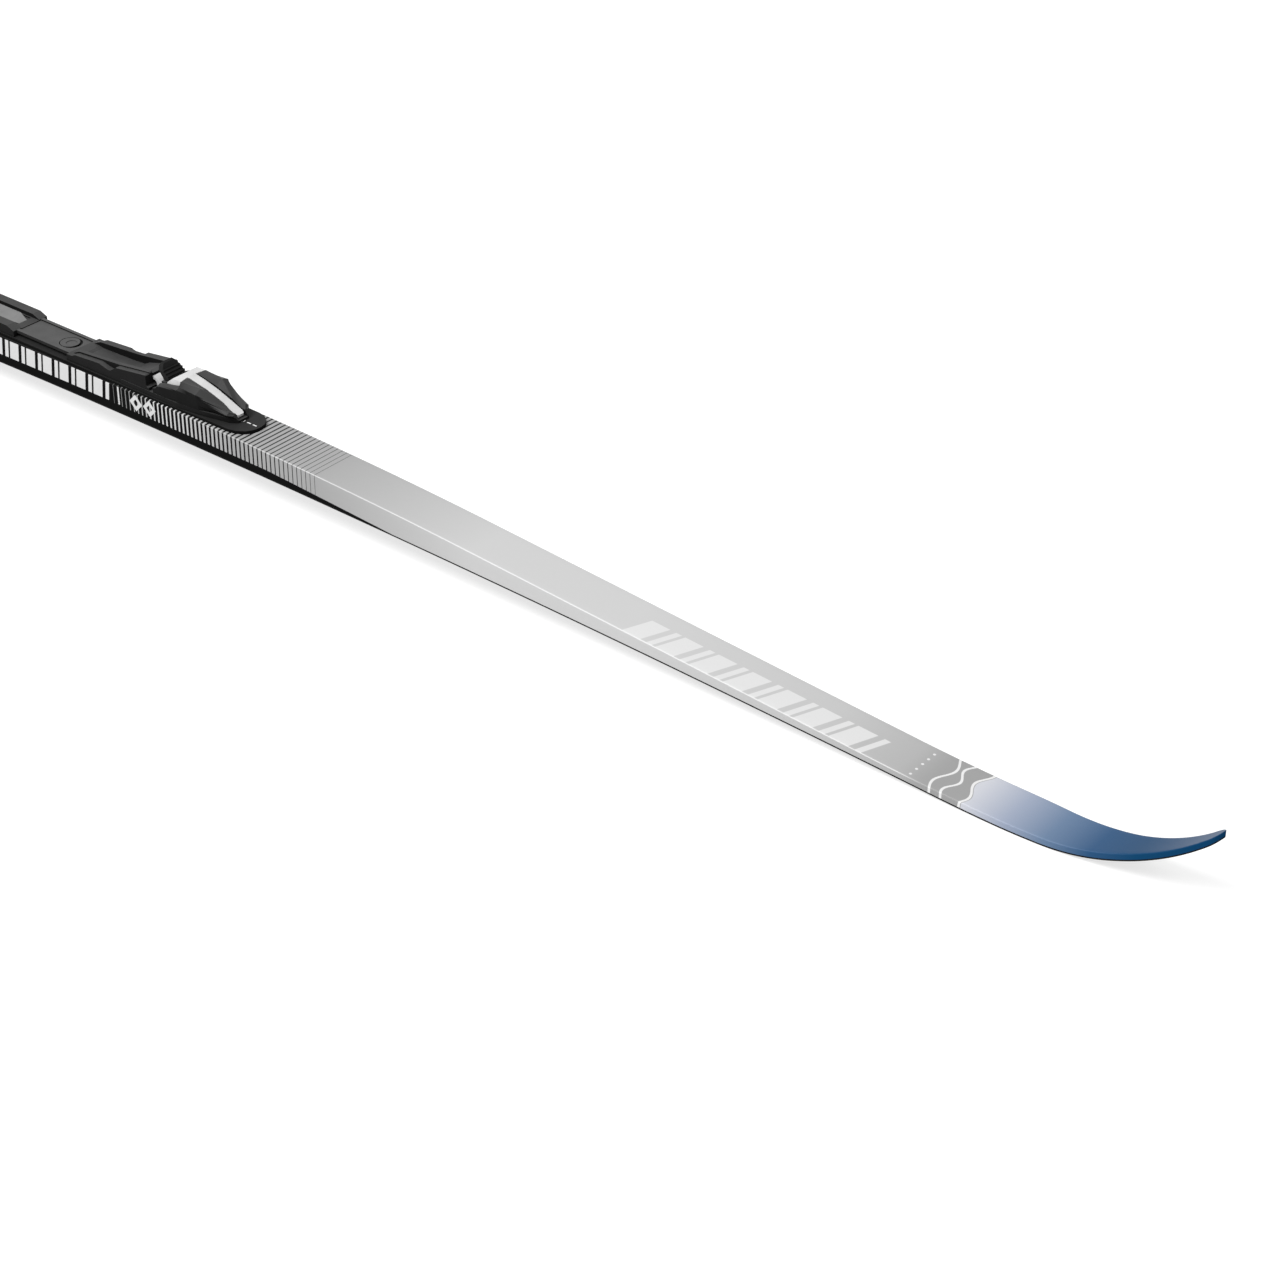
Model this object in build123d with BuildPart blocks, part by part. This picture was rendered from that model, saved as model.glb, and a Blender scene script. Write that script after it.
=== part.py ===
"""Cross country classic ski with a sliding toe binding.

+X runs towards the tip, +Y towards the left, +Z up.  The origin is under the
middle of the ski, on the floor that the two contact zones rest on.
Millimetres throughout.
"""
import os
from math import asin, atan, cos, degrees, radians, sin, tan

from build123d import *

os.makedirs("parts", exist_ok=True)

# ---------------------------------------------------------------- ski
half_length = 1030.0        # half of a 206 cm ski
camber = 25.0               # height of the free arch above the floor
arch_x = -46.0              # where the arch is highest
front_contact = (877.0, 895.0)    # flat stretch that touches the floor
rear_contact = (-955.0, -935.0)
short_arc = (74.0, 140.0)   # arcs beside the front and the rear contact
tip_radius = 187.0
tail_radius = 310.0

deck_z = 52.5               # level top face that carries the binding
deck_x = (-372.0, -26.0)
end_thickness = 6.5         # from each contact zone to the end of the ski
top_convex, top_concave = 362.0, 120.0    # top arcs in front of the deck
rear_convex, rear_concave = 260.0, 150.0  # and behind it

waist = 24.0                # half widths of the plan
shovel = 23.0
tail_half = 22.0
nose_radius = 6.5

base_t = 1.3
laminate_t = 0.7
cap_t = 0.9
wall_t = 1.0                # side wall of the cap
groove_half, groove_depth = 2.5, 0.7
core_ends = (-860.0, 740.0)
reinforcement_x = (-366.0, 66.0)
reinforcement_t = 3.0

# ------------------------------------------------------------ binding
# Binding sizes are measured forward from the boot bar and up from the deck.
bar_x = -53.0
bar_z = 12.0
bar_r = 2.05                # seat for the 4 mm boot bar
slip = 0.2                  # play between the rail and what slides on it

plate_x = (-305.0, 122.0)
plate_half = 21.5
plate_t = 2.4
rail_x = (-303.0, 44.0)
rail_neck, rail_head = 11.0, 13.0
neck_top, rail_top = 3.8, 5.0
slide_z = plate_t + slip    # underside of everything that slides
slot_roof = rail_top + slip

body_half = 20.5
slab_top = 7.2
chassis_x = (-36.0, 102.0)
foot_x = (-110.0, 0.0)
strap_x = (-194.0, -100.0)
strap_z = (5.6, 7.2)
heel_x = (-300.0, -184.0)
flexor_pin = (15.0, 10.4)
lever_pin = (25.5, 10.4)
pin_r = 1.5
running = 0.05              # radial play of a pin in a turning part
spring_z = 12.2
spring_x = (38.0, 60.0)
latch_x = -128.0
latch_r = 9.4
latch_hinge = (latch_x - latch_r + 0.25, 6.4)
hinge_r = 0.7


def arc_pair(run, rise):
    """Turning angle of two tangent arcs that step by rise over run."""
    return 2 * atan(rise / run)


def bottom_line(lift):
    """Running surface from tail to tip, raised by lift."""
    tail_turn = asin((half_length + rear_contact[0]) / tail_radius)
    rear_run = arch_x - rear_contact[1]
    front_run = front_contact[0] - arch_x
    rear_turn = arc_pair(rear_run, camber)
    front_turn = arc_pair(front_run, camber)
    tip_turn = asin((half_length - front_contact[1]) / tip_radius)
    start = (-half_length, tail_radius * (1 - cos(tail_turn)) + lift)
    heading = (cos(tail_turn), -sin(tail_turn))
    tail = JernArc(start, heading, tail_radius, degrees(tail_turn))
    rear_flat = Line(tail @ 1, (rear_contact[1], lift))
    short_radius = short_arc[1] / sin(rear_turn)
    long_radius = (rear_run - short_arc[1]) / sin(rear_turn)
    rise = JernArc(rear_flat @ 1, (1, 0), short_radius, degrees(rear_turn))
    rear_arch = JernArc(rise @ 1, rise % 1, long_radius, -degrees(rear_turn))
    long_radius = (front_run - short_arc[0]) / sin(front_turn)
    short_radius = short_arc[0] / sin(front_turn)
    front_arch = JernArc(rear_arch @ 1, (1, 0), long_radius, -degrees(front_turn))
    fall = JernArc(front_arch @ 1, front_arch % 1, short_radius, degrees(front_turn))
    front_flat = Line(fall @ 1, (front_contact[1], lift))
    tip = JernArc(front_flat @ 1, (1, 0), tip_radius, degrees(tip_turn))
    return tail @ 0, tip @ 1


def slope_angle(run, fall, convex, concave):
    """Angle of the straight between a convex and a concave tangent arc."""
    angle = fall / run
    for _ in range(20):
        lost = (convex + concave) * (1 - tan(angle / 2) / tan(angle))
        angle = atan(fall / (run - lost))
    return angle


def top_line(lift):
    """Top face from tail to tip, raised by lift (negative is inside)."""
    tail_turn = asin((half_length + rear_contact[0]) / tail_radius)
    tip_turn = asin((half_length - front_contact[1]) / tip_radius)
    low = end_thickness + lift
    fall = deck_z - end_thickness
    rear_run = deck_x[0] - rear_contact[1]
    front_run = front_contact[0] - deck_x[1]
    start = (-half_length, tail_radius * (1 - cos(tail_turn)) + low)
    heading = (cos(tail_turn), -sin(tail_turn))
    tail = JernArc(start, heading, tail_radius, degrees(tail_turn))
    rear_flat = Line(tail @ 1, (rear_contact[1], low))
    angle = slope_angle(rear_run, fall, rear_convex, rear_concave)
    bend = JernArc(rear_flat @ 1, (1, 0), rear_concave / sin(angle), degrees(angle))
    straight = (rear_run - rear_convex - rear_concave) / cos(angle)
    ramp = Line(bend @ 1, bend @ 1 + (bend % 1) * straight)
    crown = JernArc(ramp @ 1, ramp % 1, rear_convex / sin(angle), -degrees(angle))
    deck = Line(crown @ 1, (deck_x[1], deck_z + lift))
    angle = slope_angle(front_run, fall, top_convex, top_concave)
    crown = JernArc(deck @ 1, (1, 0), top_convex / sin(angle), -degrees(angle))
    straight = (front_run - top_convex - top_concave) / cos(angle)
    ramp = Line(crown @ 1, crown @ 1 + (crown % 1) * straight)
    bend = JernArc(ramp @ 1, ramp % 1, top_concave / sin(angle), degrees(angle))
    front_flat = Line(bend @ 1, (front_contact[1], low))
    tip = JernArc(front_flat @ 1, (1, 0), tip_radius, degrees(tip_turn))
    return tail @ 0, tip @ 1


def layer(low_line, low, high_line, high):
    """Solid between two long lines, wider than the ski, in the open part."""
    with BuildSketch(Plane.XZ) as side:
        with BuildLine():
            low_tail, low_tip = low_line(low)
            high_tail, high_tip = high_line(high)
            Line(low_tail, high_tail)
            Line(low_tip, high_tip)
        make_face()
    extrude(side.sketch, amount=waist + 1, both=True)


def trim_plan(inset=0.0, x_range=None):
    """Keep what lies inside the ski's plan outline, inset all round."""
    with BuildSketch(Plane.XY) as plan:
        nose_x = half_length - inset - (nose_radius - inset)
        with BuildLine():
            shovel_arc = SagittaArc((858, shovel - inset), (958, 15.2 - inset), 1.9)
            side = Line((858, shovel - inset), (200, waist - inset))
            waist_line = Line(side @ 1, (-420, waist - inset))
            tail_side = Line(waist_line @ 1, (-985, tail_half - inset))
            corner = Line(tail_side @ 1, (-1016, 15 - inset))
            tail_end = Line(corner @ 1, (-half_length + inset, 9))
            Line(tail_end @ 1, (-half_length + inset, 0))
            nose = Line(shovel_arc @ 1, (nose_x - 5, nose_radius - inset + 1.1))
            end = RadiusArc(nose @ 1, (half_length - inset, 0), nose_radius + 4)
            Line(end @ 1, (-half_length + inset, 0))
        make_face()
        mirror(about=Plane.XZ)
    extrude(plan.sketch, amount=2 * deck_z, mode=Mode.INTERSECT)
    if x_range:
        keep_between(*x_range)


def keep_between(x_low, x_high):
    """Keep what lies between two planes across the ski."""
    with BuildSketch() as window:
        with Locations(((x_low + x_high) / 2, 0)):
            Rectangle(x_high - x_low, 4 * waist)
    extrude(window.sketch, amount=2 * deck_z, mode=Mode.INTERSECT)


def bx(offset):
    """Place along the ski of a point offset forward from the boot bar."""
    return bar_x + offset


def bz(height):
    """Height above the floor of a point that is height above the deck."""
    return deck_z + height


def side_points(points):
    """Binding points (forward, up) in the plane of the ski's side."""
    return [(bx(x), bz(z)) for x, z in points]


def side_prism(points, y_low, y_high, mode=Mode.ADD):
    """Polygon seen from the side, extruded from y_low to y_high."""
    with BuildSketch(Plane.XZ.offset(-y_high)) as profile:
        with BuildLine():
            Polyline(*side_points(points), close=True)
        make_face()
    extrude(profile.sketch, amount=y_high - y_low, mode=mode)


def both_sides(points, y_low, y_high, mode=Mode.ADD):
    """The same prism on the left and on the right."""
    side_prism(points, y_low, y_high, mode)
    side_prism(points, -y_high, -y_low, mode)


def block(x_low, x_high, y_low, y_high, z_low, z_high, mode=Mode.ADD):
    """Box in binding sizes."""
    corners = [(x_low, z_low), (x_high, z_low), (x_high, z_high), (x_low, z_high)]
    side_prism(corners, y_low, y_high, mode)


def plan_prism(points, z_low, z_high, mode=Mode.ADD):
    """Plan polygon of (forward, left) points, mirrored to the right."""
    with BuildSketch(Plane.XY.offset(bz(z_low))) as plan:
        with BuildLine():
            there = [(bx(x), y) for x, y in points]
            back = [(bx(x), -y) for x, y in reversed(points)]
            Polyline(*there, *back, close=True)
        make_face()
    extrude(plan.sketch, amount=z_high - z_low, mode=mode)


def cross_pin(x, z, radius, y_low, y_high, mode=Mode.ADD):
    """Cylinder across the ski, from y_low to y_high."""
    with BuildSketch(Plane.XZ.offset(-y_high)) as circle:
        with Locations((bx(x), bz(z))):
            Circle(radius)
    extrude(circle.sketch, amount=y_high - y_low, mode=mode)


def long_rod(x_low, x_high, z, radius, mode=Mode.ADD):
    """Cylinder along the ski, in its middle plane."""
    with BuildSketch(Plane.YZ.offset(bx(x_low))) as circle:
        with Locations((0, bz(z))):
            Circle(radius)
    extrude(circle.sketch, amount=x_high - x_low, mode=mode)


def rail_slot(x_low, x_high):
    """Cut the slot that runs on the rail of the mounting plate."""
    neck, head = rail_neck + 0.3, rail_head + 0.3
    block(x_low, x_high, -neck, neck, slide_z, neck_top, Mode.SUBTRACT)
    block(x_low, x_high, -head, head, neck_top - slip, slot_roof, Mode.SUBTRACT)


def save(piece, name):
    """Label a finished piece and write its STEP file."""
    piece.part.label = name
    export_step(piece.part, f"parts/{name}.step")


# ------------------------------------------------- plate screws' places
screw_spots = [(54, -7, 2.3), (54, 7, 2.3), (-60, 0, 4.9), (-150, 0, 4.9), (-270, 0, 4.9)]
screw_r, head_r, head_h, screw_length = 2.2, 4.2, 1.6, 17.0


def plate_screw_shapes(mode):
    """Five countersunk screws: head down from its own level, then shank."""
    for x, y, top in screw_spots:
        with BuildSketch(Plane.XY.offset(bz(top))) as head:
            with Locations((bx(x), y)):
                Circle(head_r)
        with BuildSketch(Plane.XY.offset(bz(top - head_h))) as neck:
            with Locations((bx(x), y)):
                Circle(screw_r)
        loft(sections=[head.sketch.face(), neck.sketch.face()], mode=mode)
        extrude(neck.sketch, amount=-(screw_length - top), mode=mode)


def screw_holes():
    """Shanks only, for the layers of the ski."""
    with BuildSketch(Plane.XY.offset(bz(-screw_length + head_h))) as shanks:
        for x, y, _ in screw_spots:
            with Locations((bx(x), y)):
                Circle(screw_r)
    extrude(shanks.sketch, amount=screw_length, mode=Mode.SUBTRACT)


# ------------------------------------------------------------ the ski
with BuildPart() as running_base:
    layer(bottom_line, 0, bottom_line, base_t)
    trim_plan()
    with BuildSketch(Plane.XZ) as groove:
        with BuildLine():
            low_tail, low_tip = bottom_line(-1)
            high_tail, high_tip = bottom_line(groove_depth)
            Line(low_tail, high_tail)
            Line(low_tip, high_tip)
        make_face()
    with BuildPart(mode=Mode.PRIVATE) as groove_run:
        extrude(groove.sketch, amount=groove_half, both=True)
        with BuildSketch() as reach:
            with Locations((-40, 0)):
                Rectangle(1600, 4 * groove_half)
        extrude(reach.sketch, amount=deck_z, both=True, mode=Mode.INTERSECT)
    add(groove_run.part, mode=Mode.SUBTRACT)
save(running_base, "running_base")

with BuildPart() as base_laminate:
    layer(bottom_line, base_t, bottom_line, base_t + laminate_t)
    trim_plan(wall_t)
save(base_laminate, "base_laminate")

core_low, core_high = base_t + laminate_t, -cap_t - laminate_t
with BuildPart() as binding_reinforcement:
    block(reinforcement_x[0] - bar_x, reinforcement_x[1] - bar_x, -18, 18,
          core_high - reinforcement_t, core_high + 5)
    with BuildPart(mode=Mode.PRIVATE) as under_laminate:
        layer(bottom_line, core_low, top_line, core_high)
    add(under_laminate.part, mode=Mode.INTERSECT)
    screw_holes()
save(binding_reinforcement, "binding_reinforcement")

with BuildPart() as core:
    layer(bottom_line, core_low, top_line, core_high)
    trim_plan(wall_t, core_ends)
    block(reinforcement_x[0] - bar_x, reinforcement_x[1] - bar_x, -18, 18,
          core_high - reinforcement_t, core_high + 5, Mode.SUBTRACT)
    screw_holes()
save(core, "core")

with BuildPart() as tip_spacer:
    layer(bottom_line, core_low, top_line, core_high)
    trim_plan(wall_t, (core_ends[1], half_length))
save(tip_spacer, "tip_spacer")

with BuildPart() as tail_spacer:
    layer(bottom_line, core_low, top_line, core_high)
    trim_plan(wall_t, (-half_length, core_ends[0]))
save(tail_spacer, "tail_spacer")

with BuildPart() as top_laminate:
    layer(top_line, core_high, top_line, -cap_t)
    trim_plan(wall_t)
    screw_holes()
save(top_laminate, "top_laminate")

with BuildPart() as cap_shell:
    layer(bottom_line, base_t, top_line, 0)
    trim_plan()
    with BuildPart(mode=Mode.PRIVATE) as inside:
        layer(bottom_line, base_t, top_line, -cap_t)
        trim_plan(wall_t)
    add(inside.part, mode=Mode.SUBTRACT)
    screw_holes()
save(cap_shell, "cap_shell")

# ------------------------------------------------- mounting plate, screws
with BuildPart() as mounting_plate:
    front, rear = plate_x[1], plate_x[0]
    outline = [(rear, plate_half - 6), (rear + 8, plate_half), (20, plate_half), (60, 20.2),
               (front - 20, 19.6), (front - 11.5, 17.6), (front - 4.5, 12.5), (front - 1, 7.0),
               (front, 2.0)]
    plan_prism(outline, -2, plate_t)
    with BuildPart(mode=Mode.PRIVATE) as ski_body:
        layer(bottom_line, base_t, top_line, 0)
    add(ski_body.part, mode=Mode.SUBTRACT)
    neck_low = plate_t - 0.1
    block(*rail_x, -rail_neck, rail_neck, neck_low, neck_top)
    block(*rail_x, -rail_head, rail_head, neck_top, rail_top)
    plate_screw_shapes(Mode.SUBTRACT)
save(mounting_plate, "mounting_plate")

with BuildPart() as plate_screws:
    plate_screw_shapes(Mode.ADD)
    for x, y, top in screw_spots:
        with BuildSketch(Plane.XY.offset(bz(top))) as recess:
            with Locations((bx(x), y)):
                Rectangle(4.4, 1.1)
                Rectangle(1.1, 4.4)
        extrude(recess.sketch, amount=-1.1, mode=Mode.SUBTRACT)
save(plate_screws, "plate_screws")

# ------------------------------------------------------------ toe unit
spine_half, arm_in, arm_out = 4.8, 11.3, 15.0
lever_t = 2.6
top_face = [(38, 26.6), (52, 23.8), (66, 20.3), (82, 14.6), (99, 8.2)]
channel_floor = [(x - 1.0, z - lever_t - 1.0) for x, z in top_face]
channel = [(30, 40), (30, 22)] + channel_floor + [(99.6, 4.6), (110, 4.6), (110, 40)]
base_plan = [(-2, body_half), (36, body_half), (63.4, 17.6), (95, 11.0), (102, 6.5)]
nose_slope = [(98.2, 11.0), (103.0, 3.2), (110, 3.2), (110, 11.0)]
cheek_low, cheek_high = 15.5, 17.9

foot_screw_x, foot_screw_y = -20.0, (-16.9, 16.9)
foot_screw_low, foot_screw_high = slide_z, 14.0


def foot_screws(mode):
    """Two screws that hold the foot plate from below, head down."""
    for y in foot_screw_y:
        for radius, high in ((2.4, foot_screw_low + 1.8), (1.4, foot_screw_high)):
            with BuildSketch(Plane.XY.offset(bz(foot_screw_low))) as disc:
                with Locations((bx(foot_screw_x), y)):
                    Circle(radius)
            extrude(disc.sketch, amount=high - foot_screw_low, mode=mode)


with BuildPart() as toe_chassis:
    plan_prism([(chassis_x[0], body_half)] + base_plan, slide_z, slab_top)
    both_sides([(8, slab_top - 1), (33, slab_top - 1), (33, 16.0), (16, 16.0), (8.5, 11.6)],
               cheek_low, cheek_high)
    block(60, 64, -8, 8, slab_top - 1, 15.6)
    rail_slot(chassis_x[0], 60)
    side_prism(channel, -spine_half - 0.5, spine_half + 0.5, Mode.SUBTRACT)
    for x, z in (flexor_pin, lever_pin):
        cross_pin(x, z, pin_r, -body_half, body_half, Mode.SUBTRACT)
    long_rod(59, 65, spring_z, pin_r + running, Mode.SUBTRACT)
    side_prism(nose_slope, -body_half, body_half, Mode.SUBTRACT)
    foot_screws(Mode.SUBTRACT)
save(toe_chassis, "toe_chassis")

ridge_low, ridge_step, ridge_high = 10.5, 14.6, 20.0
with BuildPart() as foot_plate:
    trough = [(foot_x[0], slide_z), (1.5, slide_z), (1.5, 10.2), (0, 10.2), (0, 19.6),
              (-10, 19.2), (-30, 13.4), (-37, 10.0), (-50, 9.0), (-94, 7.8), (-98, 8.8),
              (foot_x[0], 8.8)]
    side_prism(trough, -ridge_high, ridge_high)
    crest = [(foot_x[0], slide_z), (-1, slide_z), (-1, 20.8), (-3, 22.4), (-43, 17.2),
             (-98, 12.8), (-106, 8.9), (foot_x[0], 8.4)]
    both_sides(crest, ridge_low, ridge_step)
    flank = [(foot_x[0], slide_z), (-1, slide_z), (-1, 20.0), (-3, 21.4), (-42, 16.2),
             (-50, 10.8), (-54, 10.8), (-65, 13.6), (-98, 11.2), (-105, 8.2), (foot_x[0], 7.9)]
    both_sides(flank, ridge_step, ridge_high)
    block(chassis_x[0], 3, -body_half, body_half, slide_z - 1, slab_top, Mode.SUBTRACT)
    rail_slot(foot_x[0] - 1, chassis_x[0])
    block(foot_x[0] - 1, strap_x[1], -16.7, 16.7, slide_z - 1, strap_z[1], Mode.SUBTRACT)
    cross_pin(0, bar_z, bar_r, -body_half, body_half, Mode.SUBTRACT)
    block(-bar_r, 4, -body_half, body_half, bar_z, 30, Mode.SUBTRACT)
    block(-3.5, 4, -11.4, 11.4, 14.0, 30, Mode.SUBTRACT)
    foot_screws(Mode.SUBTRACT)
save(foot_plate, "foot_plate")

with BuildPart() as foot_plate_screws:
    foot_screws(Mode.ADD)
    for y in foot_screw_y:
        with BuildSketch(Plane.XY.offset(bz(foot_screw_low))) as recess:
            with Locations((bx(foot_screw_x), y)):
                Rectangle(2.8, 0.8)
                Rectangle(0.8, 2.8)
        extrude(recess.sketch, amount=1.0, mode=Mode.SUBTRACT)
save(foot_plate_screws, "foot_plate_screws")

with BuildPart() as link_strap:
    block(*strap_x, -16.5, 16.5, *strap_z)
    both_sides([(strap_x[0] + 10, strap_z[1]), (foot_x[0], strap_z[1]),
                (foot_x[0], strap_z[1] + 1.4), (strap_x[0] + 10, strap_z[1] + 1.4)], 13, 16.5)
    with BuildSketch(Plane.XY.offset(bz(strap_z[0]))) as window:
        with Locations((bx(latch_x), 0), (bx(latch_x) + 2.6, 0)):
            Circle(latch_r + 0.8)
    extrude(window.sketch, amount=5, mode=Mode.SUBTRACT)
    cross_pin(*latch_hinge, hinge_r + running, -4.3, 4.3, Mode.SUBTRACT)
save(link_strap, "link_strap")

with BuildPart() as position_latch:
    with BuildSketch(Plane.XY.offset(bz(strap_z[0]))) as tongue:
        with Locations((bx(latch_x), 0)):
            Circle(latch_r)
    extrude(tongue.sketch, amount=strap_z[1] - strap_z[0])
    block(latch_x + 4, latch_x + 6, -5, 5, slot_roof - 0.05, strap_z[0] + 0.1)
    with BuildSketch(Plane.XY.offset(bz(strap_z[1]))) as dish:
        with Locations((bx(latch_x + 2), 0)):
            Circle(latch_r - 4)
    extrude(dish.sketch, amount=-0.6, taper=35, mode=Mode.SUBTRACT)
    cross_pin(*latch_hinge, hinge_r, -4, 4)
save(position_latch, "position_latch")

pad_half, pad_floor = 9.6, 6.6
with BuildPart() as heel_plate:
    low, high = heel_x
    block(low, high, -19, 19, slide_z, 8.0)
    ridge = [(low, slide_z), (high, slide_z), (high, 8.6), (high - 9, 12.0),
             (low + 10, 12.0), (low, 8.6)]
    both_sides(ridge, 11.0, body_half)
    block(low + 12, high - 10, -pad_half, pad_half, pad_floor, 30, Mode.SUBTRACT)
    rail_slot(low - 1, high + 1)
    block(strap_x[0], high + 1, -16.7, 16.7, slide_z - 1, strap_z[1], Mode.SUBTRACT)
save(heel_plate, "heel_plate")

with BuildPart() as heel_pad:
    nose = heel_x[1] - 10.2
    plan_prism([(heel_x[0] + 12.2, pad_half - 0.2), (nose - 14, pad_half - 0.2), (nose, 4.5)],
               pad_floor, 9.4)
    side_prism([(nose - 14, 9.5), (nose + 1, 7.4), (nose + 1, 9.5)], -pad_half, pad_half,
               Mode.SUBTRACT)
save(heel_pad, "heel_pad")

arm_low, arm_high = 11.6, 13.0      # carrier's arms, between flexor and lever
with BuildPart() as lever_pins:
    cross_pin(*lever_pin, pin_r, 11.4, cheek_high)
    cross_pin(*lever_pin, pin_r, -cheek_high, -11.4)
save(lever_pins, "lever_pins")

with BuildPart() as flexor_pins:
    cross_pin(*flexor_pin, pin_r, arm_low, cheek_high)
    cross_pin(*flexor_pin, pin_r, -cheek_high, -arm_low)
save(flexor_pins, "flexor_pins")

# --------------------------------------------------------- jaw and spring
slider_half = 6.8
with BuildPart() as jaw_slide:
    block(2.4, 38, -slider_half, slider_half, slab_top + 0.2, 9.8)
    block(34, 38, -4.5, 4.5, slab_top + 0.2, 16.0)
    hook = [(2.4, slab_top + 0.2), (9.5, slab_top + 0.2), (10.5, 12.0), (4.5, 15.5),
            (-1.5, 17.8), (-3.0, 17.0), (-1.8, 14.8), (0.0, 14.2), (2.2, 12.0)]
    side_prism(hook, -11, 11)
    block(-1.9, 2.6, -12, 12, 7, bar_z, Mode.SUBTRACT)
    cross_pin(0, bar_z, bar_r + 0.15, -12, 12, Mode.SUBTRACT)
    long_rod(33, 39, spring_z, 1.5, Mode.SUBTRACT)
save(jaw_slide, "jaw_slide")

with BuildPart() as spring_guide_rod:
    long_rod(34, 67, spring_z, 1.5)
    chamfer(spring_guide_rod.edges().filter_by(GeomType.CIRCLE).sort_by(Axis.X)[-1], 0.4)
save(spring_guide_rod, "spring_guide_rod")

wire_r, coil_r, coils = 0.45, 2.75, 8
with BuildPart() as jaw_spring:
    length = spring_x[1] - spring_x[0] - 2 * wire_r - 0.1
    with BuildLine() as path:
        Helix(pitch=length / coils, height=length, radius=coil_r, direction=(1, 0, 0),
              center=(bx(spring_x[0]) + wire_r + 0.05, 0, bz(spring_z)))
    with BuildSketch(Plane(origin=path.line @ 0, z_dir=path.line % 0)):
        Circle(wire_r)
    sweep(path=path.line)
save(jaw_spring, "jaw_spring")

# --------------------------------------------------------- flexor
flexor_half = 10.4


def cross_section(x, rows):
    """Closed outline across the ski from (half width, height) rows."""
    with BuildSketch(Plane.YZ.offset(bx(x))) as outline:
        with BuildLine():
            right = [(-y, bz(z)) for y, z in rows]
            left = [(y, bz(z)) for y, z in reversed(rows)]
            Polyline(*right, *left, close=True)
        make_face()
    return outline.sketch.face()


with BuildPart() as flexor_carrier:
    px, pz = flexor_pin
    both_sides([(px - 2.7, pz), (px + 2.7, pz), (px + 1.5, 17.5), (px - 3.6, 17.5)],
               arm_low, arm_high)
    for y_low, y_high in ((arm_low, arm_high), (-arm_high, -arm_low)):
        cross_pin(px, pz, 2.7, y_low, y_high)
    side_prism([(px - 3.0, 16.3), (px + 1.5, 16.3), (px + 1.5, 17.5), (px - 3.6, 17.5)],
               -arm_high, arm_high)
    side_prism([(px + 1, 16.3), (px + 3.0, 16.3), (px + 3.0, 17.5), (px + 1, 17.5)],
               -flexor_half, flexor_half)
    cross_pin(px, pz, pin_r + running, -arm_high, arm_high, Mode.SUBTRACT)
save(flexor_carrier, "flexor_carrier")

with BuildPart() as flexor:
    front_low, front_high = (18.4, 20.4), (11.0, 26.5)
    side_prism([(12.6, 17.5), (18.0, 17.5), front_low, front_high, (8.6, 31.6), (5.6, 32.0),
                (4.6, 29.0), (6.1, 26.0)], -flexor_half, flexor_half)
    slope = atan((front_high[1] - front_low[1]) / (front_low[0] - front_high[0]))
    for step in range(3):
        x = 16.7 - 2.7 * step
        z = front_low[1] + (front_low[0] - x) * tan(slope)
        tooth = [(x + along * cos(slope) + out * sin(slope),
                  z - along * sin(slope) + out * cos(slope))
                 for along, out in ((-1.0, -0.4), (1.0, -0.4), (0.7, 1.1), (-0.7, 1.1))]
        side_prism(tooth, -flexor_half, flexor_half)
    extrude(cross_section(0, [(flexor_half, 10), (flexor_half, 26), (6.0, 32.2)]),
            amount=30, mode=Mode.INTERSECT)
save(flexor, "flexor")

# --------------------------------------------------------- release lever
with BuildPart() as release_lever:
    under = [(x - 0.6, z - lever_t) for x, z in reversed(top_face)]
    side_prism([(29.0, 26.4)] + top_face + under + [(29.6, 23.6)], -arm_out, arm_out)
    plan = [(18, arm_out), (39.2, arm_out), (37.8, spine_half), (96, spine_half),
            (99.0, spine_half - 1.5)]
    plan_prism(plan, 0, 60, Mode.INTERSECT)
    both_sides([(38.4, 25.6), (29.1, 25.6), (24.5, 16.5), (22.5, 10.4), (28.5, 10.4),
                (30.5, 16.5), (38.8, 22.6)], arm_in, arm_out)
    both_sides([(30.0, 25.6), (28.4, 25.9), (21.7, 20.6), (21.5, 16.5), (22.5, 10.4),
                (26.0, 10.4), (29.0, 20.0)], arm_high + 0.3, arm_out)
    for y_low, y_high in ((arm_in, arm_out), (-arm_out, -arm_in)):
        cross_pin(*lever_pin, 3.0, y_low, y_high)
    cross_pin(*lever_pin, pin_r + running, -arm_out, arm_out, Mode.SUBTRACT)
save(release_lever, "release_lever")

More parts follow.
